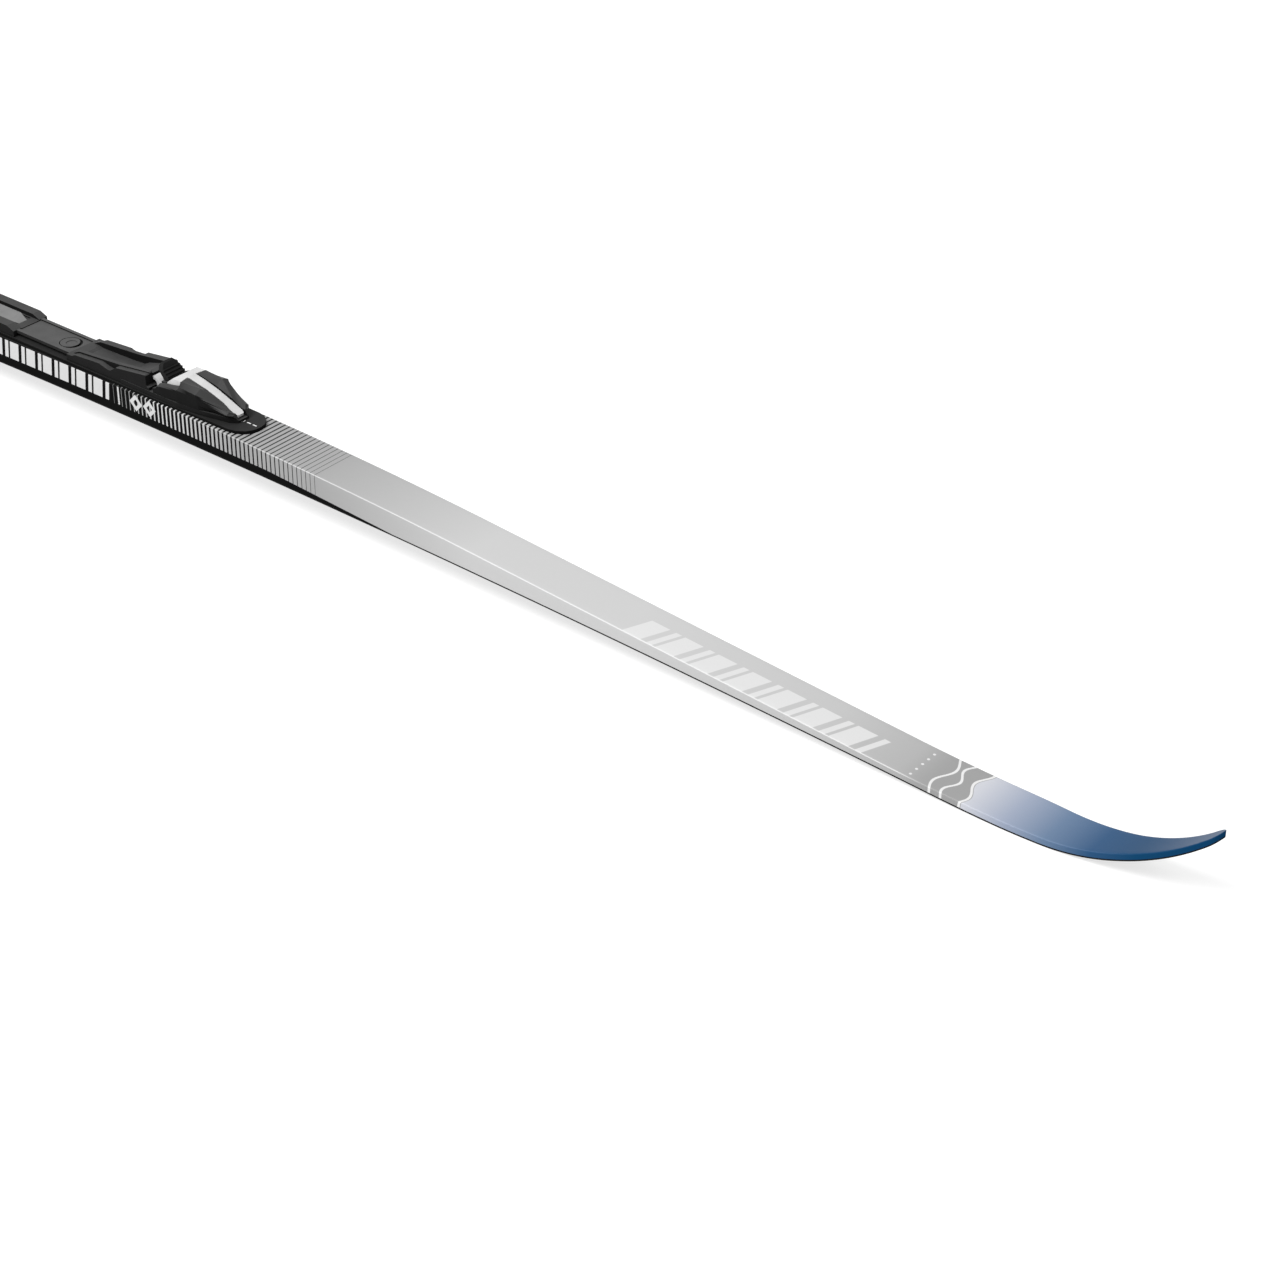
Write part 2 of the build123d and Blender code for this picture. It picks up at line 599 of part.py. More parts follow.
# --------------------------------------------------------- toe housing
with BuildPart() as toe_housing:
    sections = [
        cross_section(7.0, [(20.5, slab_top), (20.5, 11.8), (15.2, 12.6), (5.4, 12.6)]),
        cross_section(12.5, [(20.5, slab_top), (20.5, 15.4), (15.2, 17.0), (5.4, 17.0)]),
        cross_section(17.5, [(20.5, slab_top), (20.5, 16.8), (15.2, 18.9), (5.4, 18.9)]),
        cross_section(39.0, [(20.0, slab_top), (20.5, 20.0), (15.2, 22.8), (5.4, 22.8)]),
        cross_section(40.2, [(19.9, slab_top), (20.5, 20.2), (15.0, 27.0), (5.4, 27.0)]),
        cross_section(63.4, [(17.6, slab_top), (20.2, 23.4), (13.0, 26.8), (5.4, 22.6)]),
        cross_section(95.0, [(11.0, slab_top), (13.6, 10.6), (10.2, 12.8), (5.4, 10.4)]),
        cross_section(101.5, [(6.8, slab_top), (8.0, 8.2), (7.0, 9.2), (5.4, 8.8)]),
    ]
    loft(sections=sections, ruled=True)
    side_prism(nose_slope, -body_half, body_half, Mode.SUBTRACT)
    side_prism(channel, -spine_half - 0.5, spine_half + 0.5, Mode.SUBTRACT)
    block(0, 39.8, -arm_out - 0.4, arm_out + 0.4, 0, 40, Mode.SUBTRACT)
    block(0, 33.4, -cheek_high - 0.2, cheek_high + 0.2, 0, 16.2, Mode.SUBTRACT)
    block(20, 76, -10.8, 10.8, 0, 15.8, Mode.SUBTRACT)
    side_prism([(20, 15.7), (70, 15.7), (64, 18.0), (46, 22.0), (20, 24.0)],
               -spine_half - 0.5, spine_half + 0.5, Mode.SUBTRACT)
save(toe_housing, "toe_housing")
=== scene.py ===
"""Looks of the cross country ski: fine skins, materials, floor, light, camera.

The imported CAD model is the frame.  Metres, in the same axes: +X to the tip,
+Y to the left, +Z up, with the floor at z = 0.
"""
from math import asin, atan, cos, hypot, pi, radians, sin, sqrt, tan

import bpy
import mathutils
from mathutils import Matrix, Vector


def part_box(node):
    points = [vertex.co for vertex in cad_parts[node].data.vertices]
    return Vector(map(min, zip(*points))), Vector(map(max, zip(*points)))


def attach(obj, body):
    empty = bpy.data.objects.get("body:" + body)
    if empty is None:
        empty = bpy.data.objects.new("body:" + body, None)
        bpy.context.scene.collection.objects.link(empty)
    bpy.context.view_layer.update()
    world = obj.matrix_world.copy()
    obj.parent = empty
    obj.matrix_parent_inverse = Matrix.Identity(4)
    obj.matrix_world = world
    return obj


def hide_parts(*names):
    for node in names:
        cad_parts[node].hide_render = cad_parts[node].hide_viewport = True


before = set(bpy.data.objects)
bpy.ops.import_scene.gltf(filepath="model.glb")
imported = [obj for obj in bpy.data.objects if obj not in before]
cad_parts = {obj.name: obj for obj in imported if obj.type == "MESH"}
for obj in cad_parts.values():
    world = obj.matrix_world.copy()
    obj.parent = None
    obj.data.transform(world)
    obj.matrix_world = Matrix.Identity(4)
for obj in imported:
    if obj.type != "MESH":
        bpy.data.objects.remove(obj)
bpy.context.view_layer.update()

MM = 0.001


# ------------------------------------------------------------ node helpers
class Paint:
    """A material and short calls for the nodes that it needs."""

    def __init__(self, name, **shader):
        self.material = bpy.data.materials.new(name)
        self.material.use_nodes = True
        self.tree = self.material.node_tree
        self.shader = self.tree.nodes["Principled BSDF"]
        for socket, value in shader.items():
            self.shader.inputs[socket.replace("_", " ")].default_value = value
        place = self.tree.nodes.new("ShaderNodeTexCoord")
        self.place = place.outputs["Object"]
        split = self.tree.nodes.new("ShaderNodeSeparateXYZ")
        self.tree.links.new(self.place, split.inputs[0])
        self.x, self.y, self.z = split.outputs

    def plug(self, value, socket):
        """Link a socket, or set a plain value."""
        if isinstance(value, bpy.types.NodeSocket):
            self.tree.links.new(value, socket)
        else:
            socket.default_value = value

    def math(self, operation, *values):
        """One Math node."""
        node = self.tree.nodes.new("ShaderNodeMath")
        node.operation = operation
        for value, socket in zip(values, node.inputs):
            self.plug(value, socket)
        return node.outputs[0]

    def step(self, value, low, high, out_low=0.0, out_high=1.0):
        """Smooth change from out_low at low to out_high at high."""
        node = self.tree.nodes.new("ShaderNodeMapRange")
        node.interpolation_type = "SMOOTHSTEP"
        for place, item in enumerate((value, low, high, out_low, out_high)):
            self.plug(item, node.inputs[place])
        return node.outputs[0]

    def ramp(self, value, low, high, out_low, out_high):
        """Straight change from out_low at low to out_high at high, held outside."""
        node = self.tree.nodes.new("ShaderNodeMapRange")
        for place, item in enumerate((value, low, high, out_low, out_high)):
            self.plug(item, node.inputs[place])
        return node.outputs[0]

    def inside(self, value, low, high, soft=0.15 * MM):
        """1 between low and high, 0 outside, with soft edges."""
        rise = self.step(value, low - soft, low + soft)
        fall = self.step(value, high - soft, high + soft, 1.0, 0.0)
        return self.math("MULTIPLY", rise, fall)

    def mix(self, factor, first, second):
        """Colour first where factor is 0, second where it is 1."""
        node = self.tree.nodes.new("ShaderNodeMix")
        node.data_type = "RGBA"
        self.plug(factor, node.inputs[0])
        self.plug(first, node.inputs[6])
        self.plug(second, node.inputs[7])
        return node.outputs[2]

    def noise(self, scale, detail=3.0, stretch=(1, 1, 1)):
        """Noise value, 0 to 1."""
        node = self.tree.nodes.new("ShaderNodeTexNoise")
        node.inputs["Scale"].default_value = scale
        node.inputs["Detail"].default_value = detail
        scaled = self.tree.nodes.new("ShaderNodeVectorMath")
        scaled.operation = "MULTIPLY"
        self.tree.links.new(self.place, scaled.inputs[0])
        scaled.inputs[1].default_value = stretch
        self.tree.links.new(scaled.outputs[0], node.inputs["Vector"])
        return node.outputs["Fac"]

    def cells(self, scale):
        """Distance inside Voronoi cells."""
        node = self.tree.nodes.new("ShaderNodeTexVoronoi")
        node.inputs["Scale"].default_value = scale
        self.tree.links.new(self.place, node.inputs["Vector"])
        return node.outputs["Distance"]

    def gradient(self, value, stops):
        """Colour ramp over (position, colour) stops, value from 0 to 1."""
        node = self.tree.nodes.new("ShaderNodeValToRGB")
        elements = node.color_ramp.elements
        while len(elements) < len(stops):
            elements.new(1.0)
        for element, (position, colour) in zip(elements, stops):
            element.position = position
            element.color = colour
        self.plug(value, node.inputs[0])
        return node.outputs[0]

    def up_facing(self):
        """How far the surface faces up, -1 to 1."""
        geometry = self.tree.nodes.new("ShaderNodeNewGeometry")
        split = self.tree.nodes.new("ShaderNodeSeparateXYZ")
        self.tree.links.new(geometry.outputs["Normal"], split.inputs[0])
        return split.outputs[2]

    def attribute(self, name):
        """A number kept at the mesh's points."""
        node = self.tree.nodes.new("ShaderNodeAttribute")
        node.attribute_name = name
        return node.outputs["Fac"]

    def sheen_on_top(self, low, high):
        """Specular level, low on upright faces and high on faces that look up."""
        level = self.ramp(self.up_facing(), 0.3, 0.95, low, high)
        self.plug(level, self.shader.inputs["Specular IOR Level"])

    def finish(self, colour=None, roughness=None, height=None, distance=0.02 * MM, strength=0.5):
        """Link the colour, the roughness and the bump to the shader."""
        if colour is not None:
            self.plug(colour, self.shader.inputs["Base Color"])
        if roughness is not None:
            self.plug(roughness, self.shader.inputs["Roughness"])
        if height is not None:
            bump = self.tree.nodes.new("ShaderNodeBump")
            bump.inputs["Strength"].default_value = strength
            bump.inputs["Distance"].default_value = distance
            self.plug(height, bump.inputs["Height"])
            self.tree.links.new(bump.outputs[0], self.shader.inputs["Normal"])
        return self.material


def tone(level):
    """Opaque grey of a linear level."""
    return (level, level, level, 1.0)


def tint(red, green, blue):
    """Opaque colour of linear levels."""
    return (red, green, blue, 1.0)


# ------------------------------------------------------- the ski's profile
half_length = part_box("cap_shell")[1][0]
contact_front = (0.877, 0.895)
contact_rear = (-0.955, -0.935)
arch_x, arch_height = -0.046, 0.025
deck_x, deck_z = (-0.372, -0.026), 0.0525
end_thickness = 6.5 * MM
tip_radius, tail_radius = 0.187, 0.310
base_thickness = 1.3 * MM


def chain(start_x, start_z, start_angle, pieces):
    """Height along x of tangent arcs: each piece is (its last x, its curvature)."""
    def height(x):
        low_x, z, slope = start_x, start_z, sin(start_angle)
        for last_x, curve in pieces:
            reach = min(x, last_x) - low_x
            after = slope + curve * reach
            if curve:
                z += (sqrt(1 - slope * slope) - sqrt(1 - after * after)) / curve
            else:
                z += reach * slope / sqrt(1 - slope * slope)
            slope, low_x = after, last_x
            if x <= last_x:
                break
        return z
    return height


def arch_curves(run, rise, short):
    """Curvatures of the short and the long arc that climb rise over run."""
    turn = sin(2 * atan(rise / run))
    return turn / short, turn / (run - short)


def ramp_curves(run, fall, convex, concave):
    """Curvatures of the arcs at both ends of a straight ramp."""
    angle = fall / run
    for _ in range(20):
        lost = (convex + concave) * (1 - tan(angle / 2) / tan(angle))
        angle = atan(fall / (run - lost))
    return sin(angle) / convex, sin(angle) / concave


tail_angle = asin((half_length + contact_rear[0]) / tail_radius)
tail_rise = tail_radius * (1 - cos(tail_angle))
rear_short, rear_long = arch_curves(arch_x - contact_rear[1], arch_height, 0.140)
front_short, front_long = arch_curves(contact_front[0] - arch_x, arch_height, 0.074)
bottom = chain(-half_length, tail_rise, -tail_angle, [
    (contact_rear[0], 1 / tail_radius), (contact_rear[1], 0),
    (contact_rear[1] + 0.140, rear_short), (arch_x, -rear_long),
    (contact_front[0] - 0.074, -front_long), (contact_front[0], front_short),
    (contact_front[1], 0), (half_length, 1 / tip_radius)])

drop = deck_z - end_thickness
rear_convex, rear_concave = ramp_curves(deck_x[0] - contact_rear[1], drop, 0.260, 0.150)
front_convex, front_concave = ramp_curves(contact_front[0] - deck_x[1], drop, 0.362, 0.120)
top = chain(-half_length, tail_rise + end_thickness, -tail_angle, [
    (contact_rear[0], 1 / tail_radius), (contact_rear[1], 0),
    (contact_rear[1] + 0.150, rear_concave), (deck_x[0] - 0.260, 0),
    (deck_x[0], -rear_convex), (deck_x[1], 0), (deck_x[1] + 0.362, -front_convex),
    (contact_front[0] - 0.120, 0), (contact_front[0], front_concave),
    (contact_front[1], 0), (half_length, 1 / tip_radius)])


def bulge(x, first, last, sagitta):
    """Half width at x on an arc from first to last that bulges by sagitta."""
    run, rise = last[0] - first[0], last[1] - first[1]
    chord = hypot(run, rise)
    radius = (chord * chord / 4 + sagitta * sagitta) / (2 * sagitta)
    reach = (radius - sagitta) / chord
    centre_x = (first[0] + last[0]) / 2 + rise * reach
    centre_y = (first[1] + last[1]) / 2 - run * reach
    return centre_y + sqrt(max(radius ** 2 - (x - centre_x) ** 2, 0))


def half_width(x):
    """Half width of the plan at x."""
    plan = [(-half_length, 9 * MM), (-1.016, 15 * MM), (-0.985, 22 * MM), (-0.420, 24 * MM),
            (0.200, 24 * MM), (0.858, 23 * MM)]
    for (x0, w0), (x1, w1) in zip(plan, plan[1:]):
        if x <= x1:
            return w0 + (w1 - w0) * (x - x0) / (x1 - x0)
    if x <= 0.958:
        return bulge(x, (0.858, 23 * MM), (0.958, 15.2 * MM), 1.9 * MM)
    if x <= 1.0185:
        return (15.2 + (7.6 - 15.2) * (x - 0.958) / 0.0605) * MM
    return bulge(x, (1.0185, 7.6 * MM), (half_length, 0.0), 2.35 * MM)


def stations():
    """Places along the ski where its skins have a section."""
    steps = [(-1.030, -1.014, 0.002), (-1.014, -0.980, 0.0042), (-0.980, -0.372, 0.0152),
             (-0.372, -0.026, 0.0346), (-0.026, 0.858, 0.0136), (0.858, 1.018, 0.004),
             (1.018, 1.0288, 0.0012), (1.0288, 1.02995, 0.0003)]
    places = []
    for low, high, step in steps:
        count = max(1, round((high - low) / step))
        places += [low + (high - low) * i / count for i in range(count)]
    return places + [steps[-1][1]]


def tube(name, section):
    """Closed mesh through the same ring of points at every station.

    section(x) gives the ring as (y, z, rise) points; rise is kept for the paint.
    """
    points, faces, rises = [], [], []
    places = stations()
    for x in places:
        ring = section(x)
        points += [(x, y, z) for y, z, _ in ring]
        rises += [rise for _, _, rise in ring]
    size = len(ring)
    for i in range(len(places) - 1):
        for j in range(size):
            k = (j + 1) % size
            faces.append((i * size + j, i * size + k, (i + 1) * size + k, (i + 1) * size + j))
    faces.append(tuple(reversed(range(size))))
    faces.append(tuple(range(len(points) - size, len(points))))
    mesh = bpy.data.meshes.new(name)
    mesh.from_pydata(points, [], faces)
    mesh.attributes.new("rise", "FLOAT", "POINT").data.foreach_set("value", rises)
    mesh.validate()
    piece = bpy.data.objects.new(name, mesh)
    bpy.context.scene.collection.objects.link(piece)
    smooth(piece)
    return piece


def smooth(piece, angle=38):
    """Smooth shading that keeps edges sharper than angle."""
    piece.data.shade_smooth()
    piece.data.set_sharp_from_angle(angle=radians(angle))


edge_round = 1.1 * MM       # rounding of the cap's upper edges
draft = 0.35 * MM           # how far the side walls lean in towards the top
wall, roof = 0.85 * MM, 0.8 * MM
groove_middle, groove_reach, groove_fade = -0.04, 0.76, 0.02
groove_depth = 0.7 * MM


def cap_section(x):
    """U-shaped ring of the printed cap: outside up and over, inside back."""
    half, base = half_width(x), bottom(x) + base_thickness
    over = top(x)
    tall = over - base
    corner = min(edge_round, 0.45 * half, 0.4 * tall)
    lean = min(draft, 0.1 * half)
    outer = [(half - lean * i / 4, base + (tall - corner) * i / 4) for i in range(5)]
    turn = [radians(15 * i) for i in range(1, 7)]
    outer += [(half - lean - corner * (1 - cos(a)), over - corner * (1 - sin(a))) for a in turn]
    flat = half - lean - corner
    outer += [(flat * i / 4, over) for i in (3, 2, 1)]
    inner_half = max(half - wall, 0.55 * half)
    inner_top = over - min(roof, 0.4 * tall)
    inner = [(inner_half, base), (inner_half, base + 0.5 * (inner_top - base)),
             (inner_half, inner_top - 0.2 * MM), (inner_half - 0.03 * half, inner_top),
             (0.5 * inner_half, inner_top)]
    right = [(-y, z) for y, z in outer]
    left = [(y, z) for y, z in reversed(outer)]
    back = [(y, z) for y, z in inner] + [(-y, z) for y, z in reversed(inner)]
    return [(y, z, z - base + base_thickness) for y, z in right + [(0, over)] + left + back]


def base_section(x):
    """Ring of the running base, with its centre groove where it has one."""
    half, low = half_width(x), bottom(x)
    high = low + base_thickness
    ease = min(0.25 * MM, 0.2 * half)
    fade = min(max((groove_reach - abs(x - groove_middle)) / groove_fade, 0.0), 1.0)
    deep = groove_depth * fade
    side = [(half, high), (half, low + ease), (half - 0.3 * ease, low + 0.3 * ease),
            (half - ease, low), (min(2.9 * MM, 0.5 * half), low),
            (min(2.3 * MM, 0.4 * half), low + deep), (min(1.0 * MM, 0.2 * half), low + deep)]
    ring = side + [(-y, z) for y, z in reversed(side)]
    return [(y, z, z - low) for y, z in ring]


# --------------------------------------------------------------- materials
middle_x = -0.218           # the print is mirrored about this place
stripe_pitch = 5.4 * MM
stripe_from, stripe_to = -0.036, 0.1605
print_black = tone(0.006)
mould_grain = 2600.0        # texture cells per metre on the moulded plastics


def bars(paint, along, first, last, pitch, wide, narrow):
    """Rows of one wide and one narrow bar in each pitch, between first and last."""
    phase = paint.math("FRACT", paint.math("DIVIDE", paint.math("SUBTRACT", along, first), pitch))
    soft = 0.012
    broad = paint.inside(phase, 0.05, 0.05 + wide, soft)
    slim = paint.inside(phase, 0.95 - narrow, 0.95, soft)
    both = paint.math("MAXIMUM", broad, slim)
    return paint.math("MULTIPLY", both, paint.inside(along, first, last))


def shaft_grey_and_painted_reflection(paint, along):
    """Grey of the shaft, with a painted reflection of the studio light that makes it brightest between
    the binding and the shovel.
    """
    return paint.gradient(paint.ramp(along, 0.0, 1.0, 0.0, 1.0), [
        (0.06, tone(0.30)), (0.16, tone(0.30)), (0.34, tone(0.46)), (0.50, tone(0.47)),
        (0.69, tone(0.43)), (0.76, tone(0.36)), (0.81, tone(0.32))])


def tip_blue(paint):
    """Blue that deepens towards the tip."""
    return paint.gradient(paint.ramp(paint.x, 0.80, 1.03, 0.0, 1.0), [
        (0.12, tint(0.49, 0.50, 0.54)), (0.28, tint(0.27, 0.31, 0.40)),
        (0.43, tint(0.115, 0.175, 0.275)), (0.59, tint(0.024, 0.074, 0.165)),
        (0.74, tint(0.006, 0.048, 0.12)), (1.0, tint(0.004, 0.038, 0.10))])


def striped(paint, along, grey):
    """Light stripes on black: thin and dim near the boot, almost closed in front."""
    dim = paint.ramp(along, -0.10, stripe_from, 0.10, 0.50)
    light = paint.mix(paint.ramp(along, stripe_from, 0.06, 0.0, 1.0), tone(0.5), grey)
    light = paint.mix(paint.step(along, stripe_from - 0.002, stripe_from), dim, light)
    phase = paint.math("FRACT", paint.math("DIVIDE", along, stripe_pitch))
    off_middle = paint.math("ABSOLUTE", paint.math("SUBTRACT", phase, 0.5))
    black_share = paint.ramp(along, stripe_from, stripe_to, 0.34, 0.04)
    black_share = paint.math("ADD", black_share, paint.ramp(along, -0.10, stripe_from, 0.10, 0.0))
    soft = 0.02
    black = paint.step(off_middle, paint.math("SUBTRACT", black_share, soft),
                       paint.math("ADD", black_share, soft), 1.0, 0.0)
    black = paint.math("MULTIPLY", black, paint.step(along, stripe_to, stripe_to + 0.3 * MM, 1.0, 0.0))
    behind = paint.step(along, -0.1025, -0.1015, 1.0, 0.0)
    return paint.mix(paint.math("MAXIMUM", black, behind), light, print_black)


def side_marks(paint, rise):
    """1 on the bars, the dash and the two diamonds of the black side walls."""
    upright = paint.math("SUBTRACT", paint.x, paint.math("MULTIPLY", rise, 0.12))
    tall = paint.inside(rise, 9.5 * MM, 27.5 * MM, 0.1 * MM)
    marks = bars(paint, upright, -0.268, -0.1045, 23.36 * MM, 0.52, 0.2)
    marks = paint.math("MAXIMUM", marks, paint.inside(paint.x, -0.0915, -0.0897, 0.08 * MM))
    marks = paint.math("MULTIPLY", marks, tall)
    for place in (-0.0675, -0.0495):
        across = paint.math("ABSOLUTE", paint.math("SUBTRACT", paint.x, place))
        height = paint.math("ABSOLUTE", paint.math("SUBTRACT", rise, 18.5 * MM))
        reach = paint.math("ADD", across, height)
        marks = paint.math("MAXIMUM", marks, paint.inside(reach, 3.6 * MM, 8.4 * MM, 0.1 * MM))
    return marks


def shaft_bars(paint):
    """1 on the pale slanted bars of the shaft."""
    slanted = paint.math("SUBTRACT", paint.x, paint.math("MULTIPLY", paint.y, 0.36))
    pale = bars(paint, slanted, 0.508, 0.745, 34.0 * MM, 0.55, 0.17)
    return paint.math("MULTIPLY", pale, paint.inside(paint.y, -0.0228, 0.0042, 0.12 * MM))


def dot_row(paint):
    """1 on a row of five dots across the ski."""
    pitch = 8.05 * MM
    row = paint.math("SUBTRACT", paint.math("FRACT", paint.math("DIVIDE", paint.math(
        "ADD", paint.y, 22.0 * MM), pitch)), 0.5)
    row = paint.math("MULTIPLY", row, pitch)
    column = paint.math("SUBTRACT", paint.x, 0.779)
    spot = paint.math("SQRT", paint.math("ADD", paint.math("MULTIPLY", row, row),
                                         paint.math("MULTIPLY", column, column)))
    dots = paint.step(spot, 1.0 * MM, 1.4 * MM, 1.0, 0.0)
    return paint.math("MULTIPLY", dots, paint.inside(paint.y, -0.022, 0.0185))


def waves(paint):
    """Three wavy lines across the ski, and the part of the ski in front of the last."""
    lines = None
    for middle, height, turns, shift in ((0.7995, 3.6, 150.0, 0.4), (0.8105, 3.0, 210.0, 2.1),
                                         (0.8255, 3.4, 170.0, 4.0)):
        angle = paint.math("ADD", paint.math("MULTIPLY", paint.y, turns), shift)
        swing = paint.math("MULTIPLY", paint.math("SINE", angle), height * MM)
        off = paint.math("SUBTRACT", paint.x, paint.math("ADD", middle, swing))
        line = paint.inside(off, -1.1 * MM, 1.1 * MM, 0.2 * MM)
        lines = line if lines is None else paint.math("MAXIMUM", lines, line)
    return lines, paint.step(off, 1.5 * MM, 1.9 * MM)


def printed_cap():
    """Satin lacquer print: black middle, fading stripes, grey shaft with a painted reflection, blue
    tip, and a painted highlight on the rounded edges.
    """
    paint = Paint("cap_print")
    paint.sheen_on_top(0.0, 0.2)
    rise = paint.attribute("rise")
    mirrored = paint.math("ABSOLUTE", paint.math("SUBTRACT", paint.x, middle_x))
    along = paint.math("ADD", mirrored, middle_x)
    on_top = paint.step(paint.up_facing(), 0.6, 0.8)
    on_side = paint.math("SUBTRACT", 1.0, on_top)
    # The shaft grey carries a painted reflection, brightest between the binding and the shovel.
    colour = striped(paint, along, shaft_grey_and_painted_reflection(paint, along))

    # Painted highlight along the rounded edges of the shaft, where the lacquer catches light.
    painted_edge_highlight = paint.inside(paint.up_facing(), 0.35, 0.85, 0.15)
    painted_edge_highlight = paint.math("MULTIPLY", painted_edge_highlight, paint.step(paint.x, stripe_from, stripe_to, 0.0, 0.4))
    colour = paint.mix(painted_edge_highlight, colour, tone(0.85))

    marks = paint.math("MULTIPLY", side_marks(paint, rise), on_side)
    colour = paint.mix(marks, colour, tone(0.52))
    colour = paint.mix(paint.math("MULTIPLY", shaft_bars(paint), on_top), colour, tone(0.575))
    colour = paint.mix(paint.math("MULTIPLY", dot_row(paint), on_top), colour, tone(0.8))
    colour = paint.mix(paint.step(paint.x, 0.765, 0.80), colour, tone(0.275))
    wave_lines, beyond = waves(paint)
    colour = paint.mix(beyond, colour, tip_blue(paint))
    colour = paint.mix(wave_lines, colour, tone(0.64))

    # Black strip low on the side walls, which tapers off along the shaft.
    strip = paint.ramp(along, 0.10, 0.25, 8.6 * MM, 1.5 * MM)
    low = paint.step(paint.math("SUBTRACT", rise, strip), -0.1 * MM, 0.1 * MM, 1.0, 0.0)
    colour = paint.mix(paint.math("MULTIPLY", low, on_side), colour, print_black)
    rough = paint.ramp(paint.noise(9.0, 2.0), 0.3, 0.7, 0.30, 0.38)
    return paint.finish(colour, rough, paint.noise(1800.0, 2.0), 0.004 * MM, 0.35)


def base_plastic():
    """Sintered black base with the fine lines of a stone grind."""
    paint = Paint("base_black", Specular_IOR_Level=0.02)
    grind = paint.noise(1.0, 2.0, (40.0, 5200.0, 40.0))
    cloud = paint.noise(60.0, 4.0)
    colour = paint.mix(cloud, tone(0.006), tone(0.014))
    rough = paint.ramp(grind, 0.3, 0.7, 0.34, 0.5)
    return paint.finish(colour, rough, grind, 0.02 * MM, 0.5)


def moulded(name, level, painted_light_top_level, roughness, grain=mould_grain):
    """Moulded plastic with a fine eroded texture, scuffs, soft cloudiness, and faces that look up
    painted paler as if lit from above.
    """
    return moulded_finish(moulded_paint(name), level, painted_light_top_level, roughness, grain)


def moulded_paint(name):
    """Empty paint of the moulded plastics."""
    paint = Paint(name)
    paint.sheen_on_top(0.015, 0.1)
    return paint


def moulded_finish(paint, level, painted_light_top_level, roughness, grain, marks=0.0):
    """Cloudy grey, paler where it faces up as painted light from above, with light marks where marks is
    1.
    """
    cloud = paint.noise(70.0, 4.0)
    scuff = paint.step(paint.noise(1.0, 4.0, (150.0, 1300.0, 600.0)), 0.66, 0.78)
    # Painted light: faces that look up are paler than the upright sides, as if lit from above.
    grey = paint.ramp(paint.up_facing(), 0.25, 0.95, level, painted_light_top_level)
    grey = paint.math("MULTIPLY", grey, paint.ramp(cloud, 0.2, 0.8, 0.85, 1.15))
    grey = paint.math("MULTIPLY", grey, paint.math("ADD", 1.0, paint.math("MULTIPLY", scuff, 0.3)))
    colour = paint.mix(marks, grey, tone(0.6))
    rough = paint.math("ADD", paint.ramp(cloud, 0.3, 0.7, roughness - 0.05, roughness + 0.05),
                       paint.math("MULTIPLY", scuff, -0.06))
    height = paint.math("ADD", paint.noise(grain, 2.0), paint.math("MULTIPLY", paint.cells(grain), 0.5))
    return paint.finish(colour, rough, height, 0.015 * MM, 0.4)


def plate_plastic(name, level, painted_light_top_level, roughness):
    """The moulded plastic with a light ring and two dashes on the plate's nose."""
    paint = moulded_paint(name)
    start = 0.0482          # middle of the ring
    across = paint.math("ABSOLUTE", paint.y)
    along = paint.math("SUBTRACT", paint.x, start)
    away = paint.math("SQRT", paint.math("ADD", paint.math("MULTIPLY", along, along),
                                         paint.math("MULTIPLY", paint.y, paint.y)))
    ring = paint.inside(away, 1.0 * MM, 2.0 * MM)
    dashes = paint.math("MAXIMUM", paint.inside(paint.x, start + 5.0 * MM, start + 9.6 * MM),
                        paint.inside(paint.x, start + 12.2 * MM, start + 16.8 * MM))
    dashes = paint.math("MULTIPLY", dashes, paint.step(across, 0.6 * MM, 0.8 * MM, 1.0, 0.0))
    marks = paint.math("MULTIPLY", paint.math("MAXIMUM", ring, dashes),
                       paint.step(paint.up_facing(), 0.6, 0.8))
    return moulded_finish(paint, level, painted_light_top_level, roughness, mould_grain, marks)


def rubber():
    """Dull rubber with a bloom of dust."""
    paint = Paint("flexor_rubber", Specular_IOR_Level=0.15)
    bloom = paint.noise(240.0, 5.0)
    colour = paint.mix(bloom, tone(0.004), tone(0.012))
    rough = paint.ramp(bloom, 0.3, 0.7, 0.5, 0.68)
    return paint.finish(colour, rough, paint.noise(3200.0, 3.0), 0.02 * MM, 0.5)


def metal(name, level, stretch):
    """Plated steel with fine drawing lines."""
    paint = Paint(name, Metallic=1.0)
    lines = paint.noise(1.0, 3.0, stretch)
    colour = paint.mix(lines, tone(0.75 * level), tone(level))
    rough = paint.ramp(lines, 0.3, 0.7, 0.24, 0.4)
    return paint.finish(colour, rough, lines, 0.01 * MM, 0.4)


def laminate():
    """Cured fibre cloth: dark tows crossing at right angles."""
    paint = Paint("laminate", Coat_Weight=0.4)
    tow = 900.0 * pi
    warp = paint.math("SINE", paint.math("MULTIPLY", paint.math("ADD", paint.x, paint.y), tow))
    weft = paint.math("SINE", paint.math("MULTIPLY", paint.math("SUBTRACT", paint.x, paint.y), tow))
    weave = paint.math("MULTIPLY", warp, weft)
    colour = paint.mix(paint.step(weave, -0.2, 0.2), tone(0.02), tone(0.06))
    return paint.finish(colour, paint.ramp(weave, -1.0, 1.0, 0.3, 0.45), weave, 0.03 * MM, 0.5)


def core_wood():
    """Light wood strips with grain along the ski."""
    paint = Paint("core_wood")
    grain = paint.noise(1.0, 5.0, (12.0, 700.0, 700.0))
    colour = paint.mix(grain, tint(0.42, 0.28, 0.15), tint(0.66, 0.5, 0.31))
    return paint.finish(colour, paint.ramp(grain, 0.3, 0.7, 0.5, 0.65), grain, 0.05 * MM, 0.5)


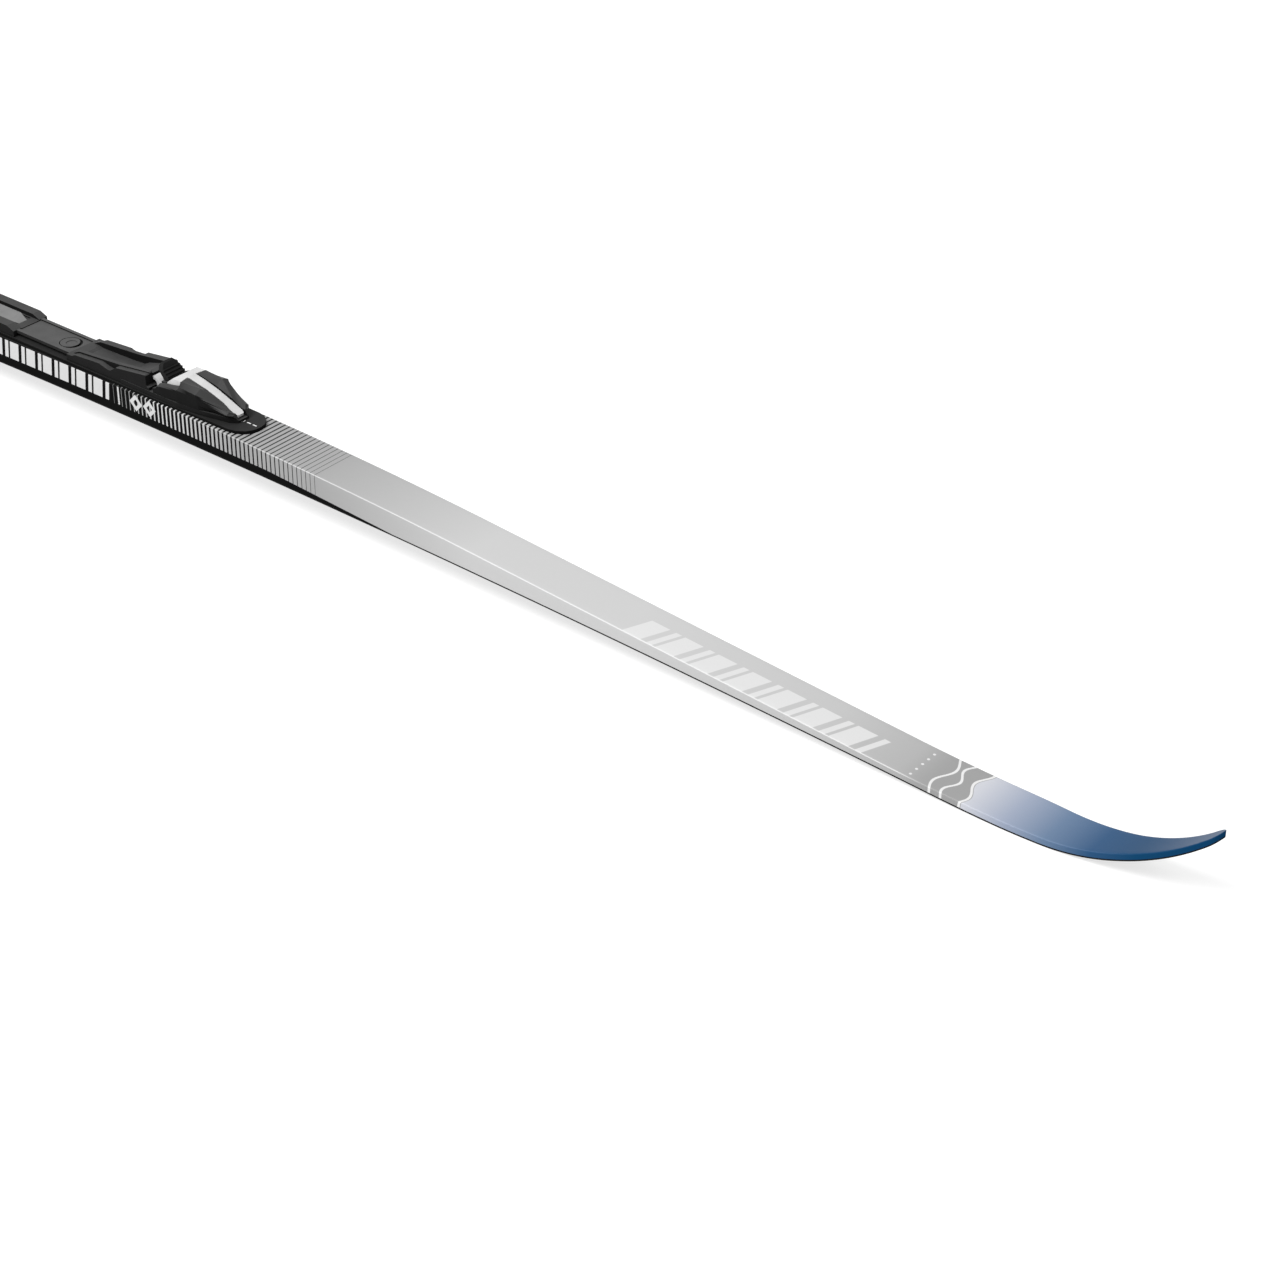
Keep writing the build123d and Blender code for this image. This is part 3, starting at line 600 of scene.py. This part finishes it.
cap_paint = printed_cap()
base_paint = base_plastic()
black_plastic = moulded("binding_black", 0.010, 0.045, 0.42)
nose_plastic = plate_plastic("plate_black", 0.006, 0.020, 0.42)
strap_plastic = moulded("binding_grey", 0.020, 0.072, 0.46)
housing_plastic = moulded("housing_black", 0.007, 0.045, 0.38, 2000.0)
pad_plastic = moulded("pad_grey", 0.08, 0.17, 0.5)
white_plastic = moulded("lever_white", 0.50, 0.52, 0.36, 1500.0)
rubber_paint = rubber()
steel = metal("steel", 0.6, (300.0, 300.0, 2500.0))
dark_steel = metal("steel_dark", 0.12, (900.0, 60.0, 900.0))
fibre = laminate()
spacer = moulded("spacer_grey", 0.12, 0.14, 0.5)

finishes = {
    "base_laminate": fibre, "top_laminate": fibre, "binding_reinforcement": fibre,
    "core": core_wood(), "tip_spacer": spacer, "tail_spacer": spacer,
    "mounting_plate": nose_plastic, "plate_screws": steel, "toe_chassis": black_plastic,
    "toe_housing": housing_plastic, "foot_plate": black_plastic, "foot_plate_screws": steel,
    "link_strap": strap_plastic, "position_latch": strap_plastic, "heel_plate": black_plastic,
    "heel_pad": pad_plastic, "lever_pins": dark_steel, "flexor_pins": dark_steel,
    "jaw_slide": white_plastic, "spring_guide_rod": steel, "jaw_spring": steel,
    "flexor_carrier": black_plastic, "flexor": rubber_paint, "release_lever": white_plastic,
}
rounding = {"toe_housing": 0.35, "foot_plate": 0.6, "flexor": 0.35, "release_lever": 0.4,
            "heel_plate": 0.6, "mounting_plate": 0.4, "toe_chassis": 0.4, "link_strap": 0.3,
            "position_latch": 0.25, "heel_pad": 0.3, "jaw_slide": 0.35}
for node, finish in finishes.items():
    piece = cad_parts[node]
    piece.data.materials.clear()
    piece.data.materials.append(finish)
    if node in rounding:
        bevel = piece.modifiers.new("rounded edges", "BEVEL")
        bevel.width = rounding[node] * MM
        bevel.segments = 3
        bevel.limit_method = "ANGLE"
        bevel.angle_limit = radians(28)
        bevel.harden_normals = True

skins = {"cap_shell": ("printed_cap_skin", cap_section, cap_paint, "cap_print"),
         "running_base": ("running_base_skin", base_section, base_paint, "base_black")}
for node, (name, section, finish, slot) in skins.items():
    skin = tube(name, section)
    skin.data.materials.append(finish)
    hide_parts(node)
    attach(skin, "ski")


# ------------------------------------------------- floor, light and camera
def pale_floor():
    """Large plain floor under the ski."""
    mesh = bpy.data.meshes.new("floor")
    reach = 9.0
    mesh.from_pydata([(-reach, -reach, 0), (reach, -reach, 0), (reach, reach, 0), (-reach, reach, 0)],
                     [], [(0, 1, 2, 3)])
    floor = bpy.data.objects.new("floor", mesh)
    bpy.context.scene.collection.objects.link(floor)
    paint = Paint("floor_white", Specular_IOR_Level=0.0, Roughness=0.9, Emission_Strength=0.72,
                  Emission_Color=tone(1.0))
    mottle = paint.noise(3.0, 2.0)
    mesh.materials.append(paint.finish(paint.mix(mottle, tone(0.33), tone(0.34))))


def area_light(name, place, aim, size, power):
    """Square soft light that points at aim."""
    light = bpy.data.lights.new(name, "AREA")
    light.size = size
    light.energy = power
    lamp = bpy.data.objects.new(name, light)
    bpy.context.scene.collection.objects.link(lamp)
    lamp.location = place
    ray = mathutils.Vector(aim) - mathutils.Vector(place)
    lamp.rotation_euler = ray.to_track_quat("-Z", "Y").to_euler()


def studio_world():
    """Bright ceiling, dimmer walls."""
    world = bpy.data.worlds.new("studio")
    bpy.context.scene.world = world
    world.use_nodes = True
    tree = world.node_tree
    place = tree.nodes.new("ShaderNodeTexCoord")
    split = tree.nodes.new("ShaderNodeSeparateXYZ")
    ramp = tree.nodes.new("ShaderNodeValToRGB")
    tree.links.new(place.outputs["Generated"], split.inputs[0])
    tree.links.new(split.outputs[2], ramp.inputs[0])
    stops = [(0.0, tone(0.75)), (0.45, tone(0.42)), (0.72, tone(0.55)), (0.9, tone(1.0))]
    elements = ramp.color_ramp.elements
    while len(elements) < len(stops):
        elements.new(1.0)
    for element, (position, colour) in zip(elements, stops):
        element.position, element.color = position, colour
    tree.links.new(ramp.outputs[0], tree.nodes["Background"].inputs["Color"])
    tree.nodes["Background"].inputs["Strength"].default_value = 1.0


pale_floor()
studio_world()
area_light("key", (-0.8, -2.2, 3.8), (0.1, 0.0, 0.0), 2.4, 205.0)

camera_data = bpy.data.cameras.new("camera")
camera_data.lens = 78.43
camera_data.sensor_width = 36.0
camera = bpy.data.objects.new("camera", camera_data)
bpy.context.scene.collection.objects.link(camera)
camera.location = (1.69998, -1.47484, 1.23014)
camera.rotation_euler = [radians(angle) for angle in (57.241, -0.012, 39.097)]
bpy.context.scene.camera = camera
bpy.context.scene.view_settings.view_transform = "Standard"
